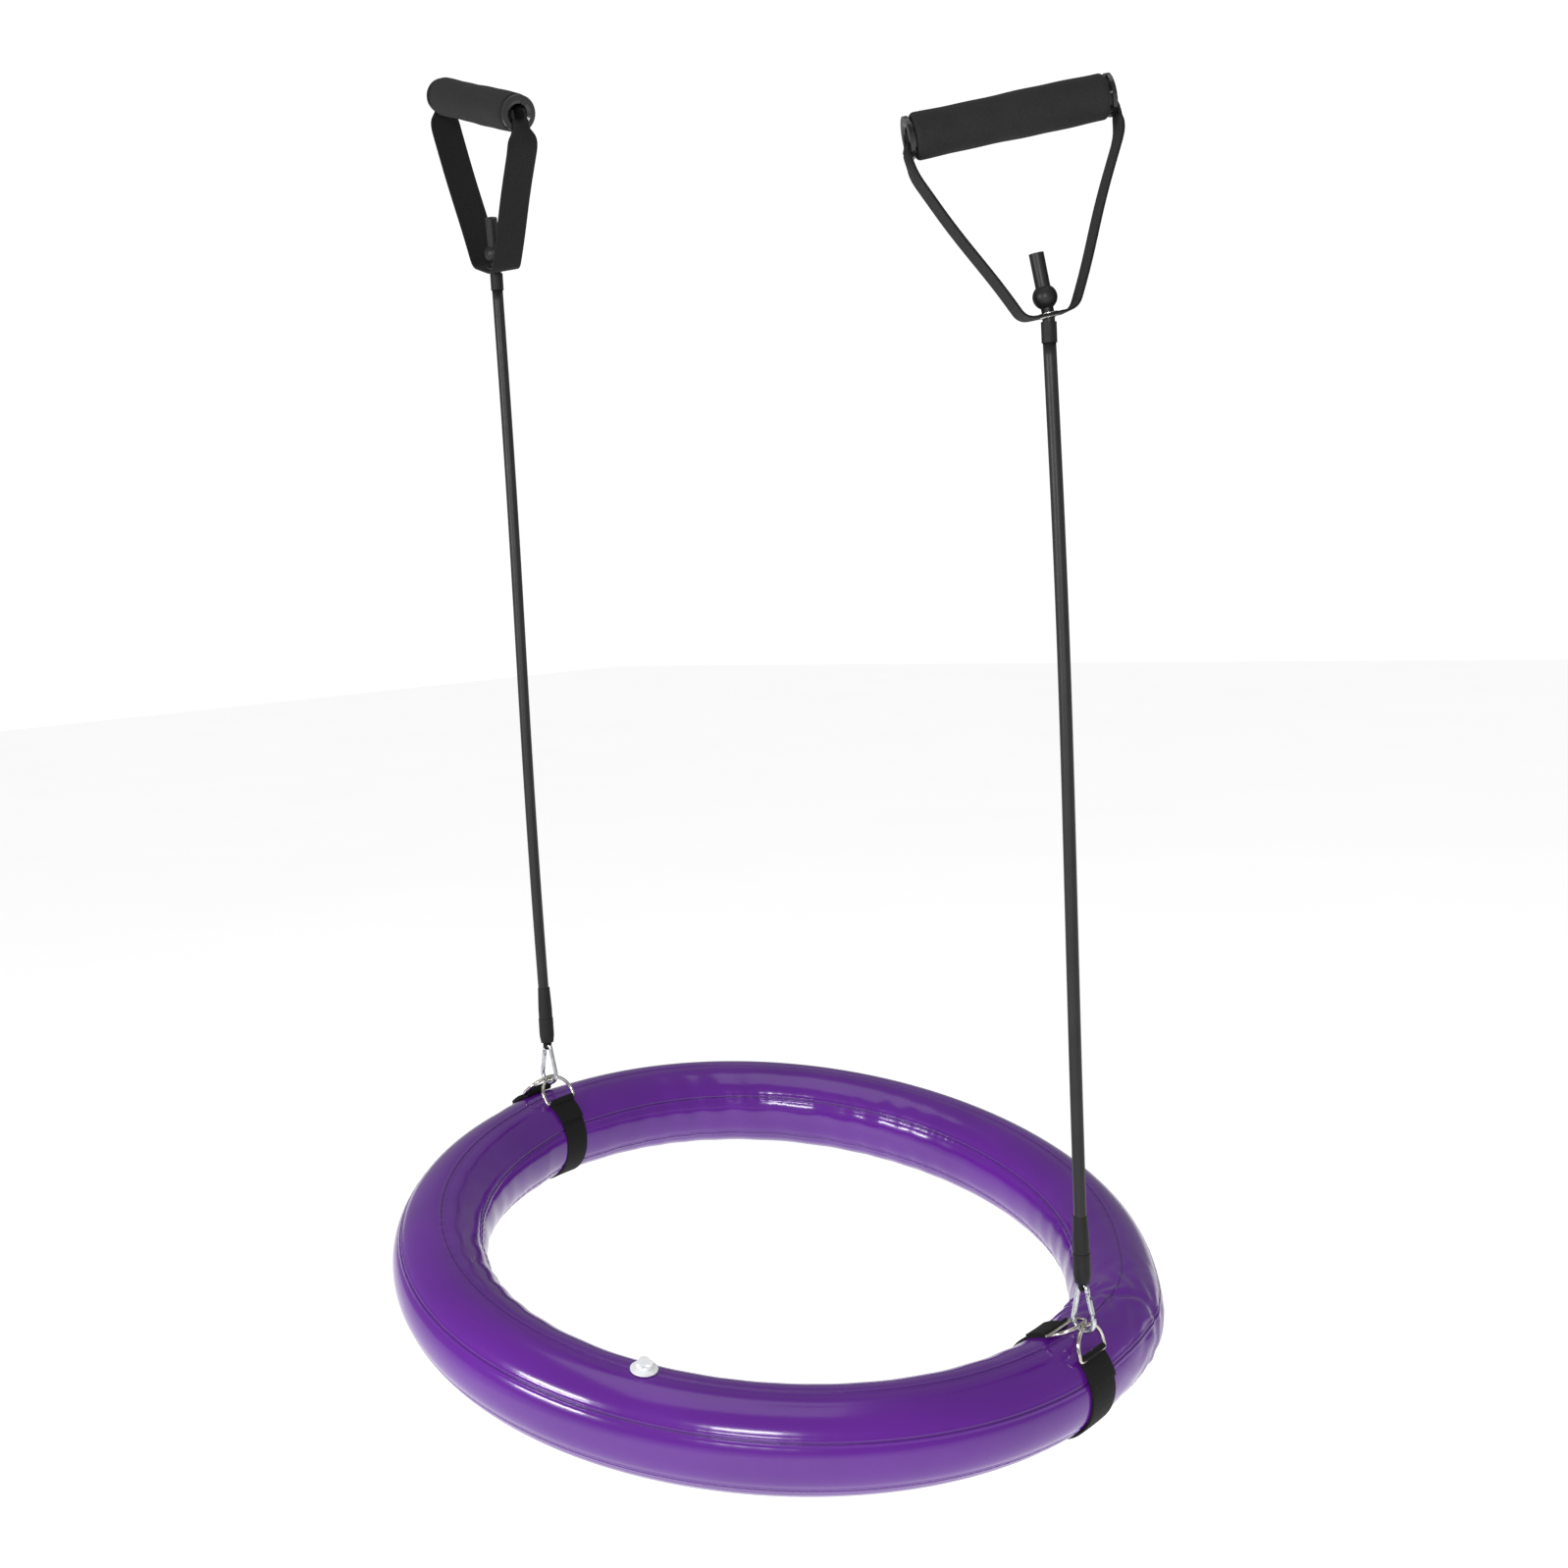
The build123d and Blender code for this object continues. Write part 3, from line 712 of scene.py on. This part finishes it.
for side in SIDES:
    outline = [(-GRIP_HALF, GRIP_BORE), (-GRIP_HALF, GRIP_RADIUS - SHOULDER)]
    for index in range(1, SHOULDER_STEPS):
        bend = radians(90 * index / SHOULDER_STEPS)
        x = -GRIP_HALF + SHOULDER * (1 - cos(bend))
        outline.append((x, GRIP_RADIUS - SHOULDER * (1 - sin(bend))))
    end = list(outline)
    length = 2 * (GRIP_HALF - SHOULDER)
    for index in range(GRIP_RUNS + 1):
        outline.append((-GRIP_HALF + SHOULDER + length * index / GRIP_RUNS, GRIP_RADIUS))
    outline += [(-x, z) for x, z in reversed(end)]
    bm = bmesh.new()
    spun_profile(bm, outline, 72)
    for vertex in bm.verts:
        around = atan2(vertex.co.z, vertex.co.y)
        if vertex.co.yz.length > GRIP_RADIUS - SKIN_DEPTH:
            swell = sin(vertex.co.x * 70 + 1.3 * sin(around)) + 0.6 * sin(vertex.co.x * 190 + around * 2)
            scale = 1 + WANDER * swell / GRIP_RADIUS
            vertex.co.y *= scale
            vertex.co.z *= scale
    bm.transform(handles[side][1])
    grip = settle(bm, f"{side}_foam_sleeve", f"{side}_grip", "foam", [f"{side}_foam_grip"])

# %% [markdown]
# A pale seamless floor and big soft lights, as in a small studio. Shiny film shows its lights by
# the mirror rule: the light must stand where the line of sight bounces off the film. So two low
# wide boxes stand behind the camera, left and right, and each leaves a short bright streak on the
# nearest side of the tube and another on the far inner side. An overhead light fills the rest.
# The world is white to the camera but dimmer as a light, so that black parts stay black. The floor
# lies low enough for the ring to hang clear of it when the cords are stretched.

# %% Floor and lights
FLOOR_DROP = 0.42
FLOOR_HALF = 14
FLOOR_GLOW = 0.62
WORLD_LIGHT = 0.36
WORLD_SEEN = 1.05
bm = bmesh.new()
bmesh.ops.create_grid(bm, x_segments=1, y_segments=1, size=FLOOR_HALF)
bmesh.ops.translate(bm, verts=bm.verts, vec=(0, 0, ring_low.z - FLOOR_DROP))
floor_mesh = bpy.data.meshes.new("floor")
bm.to_mesh(floor_mesh)
bm.free()
floor = bpy.data.objects.new("floor", floor_mesh)
bpy.context.scene.collection.objects.link(floor)
paper = Material("paper_floor", Roughness=0.9)
paper.feed("Base Color", paper.ramp(paper.noise(2.0), (0.3, grey(0.90)), (0.7, grey(0.93))))
paper.surface.inputs["Emission Color"].default_value = (1, 1, 1, 1)
paper.surface.inputs["Emission Strength"].default_value = FLOOR_GLOW
floor_mesh.materials.append(paper.made)
floor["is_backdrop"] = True

world = bpy.data.worlds.new("studio")
world.use_nodes = True
sky = world.node_tree.nodes["Background"]
sky.inputs["Color"].default_value = (1, 1, 1, 1)
rays = world.node_tree.nodes.new("ShaderNodeLightPath")
level = world.node_tree.nodes.new("ShaderNodeMapRange")
level.inputs["To Min"].default_value = WORLD_LIGHT
level.inputs["To Max"].default_value = WORLD_SEEN
world.node_tree.links.new(rays.outputs["Is Camera Ray"], level.inputs["Value"])
world.node_tree.links.new(level.outputs["Result"], sky.inputs["Strength"])
bpy.context.scene.world = world


def softbox(name, place, target, size, power):
    light = bpy.data.lights.new(name, "AREA")
    light.shape = "RECTANGLE"
    light.size, light.size_y = size
    light.energy = power
    lamp = bpy.data.objects.new(name, light)
    bpy.context.scene.collection.objects.link(lamp)
    lamp.location = place
    lamp.rotation_euler = (Vector(target) - Vector(place)).to_track_quat("-Z", "Y").to_euler()


softbox("left_box", (-0.50, -2.20, 0.10), (0.05, -0.27, -0.72), (0.85, 0.26), 27)
softbox("right_box", (1.45, -1.75, 0.20), (0.15, -0.24, -0.72), (0.70, 0.26), 22)
softbox("overhead", (0.2, -0.2, 2.8), ring_centre, (2.4, 2.4), 22)
print("floor lies", FLOOR_DROP, "m under the ring")

# %% Finish
low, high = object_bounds()
print("visual box", [round(value, 4) for value in (*low, *high)])
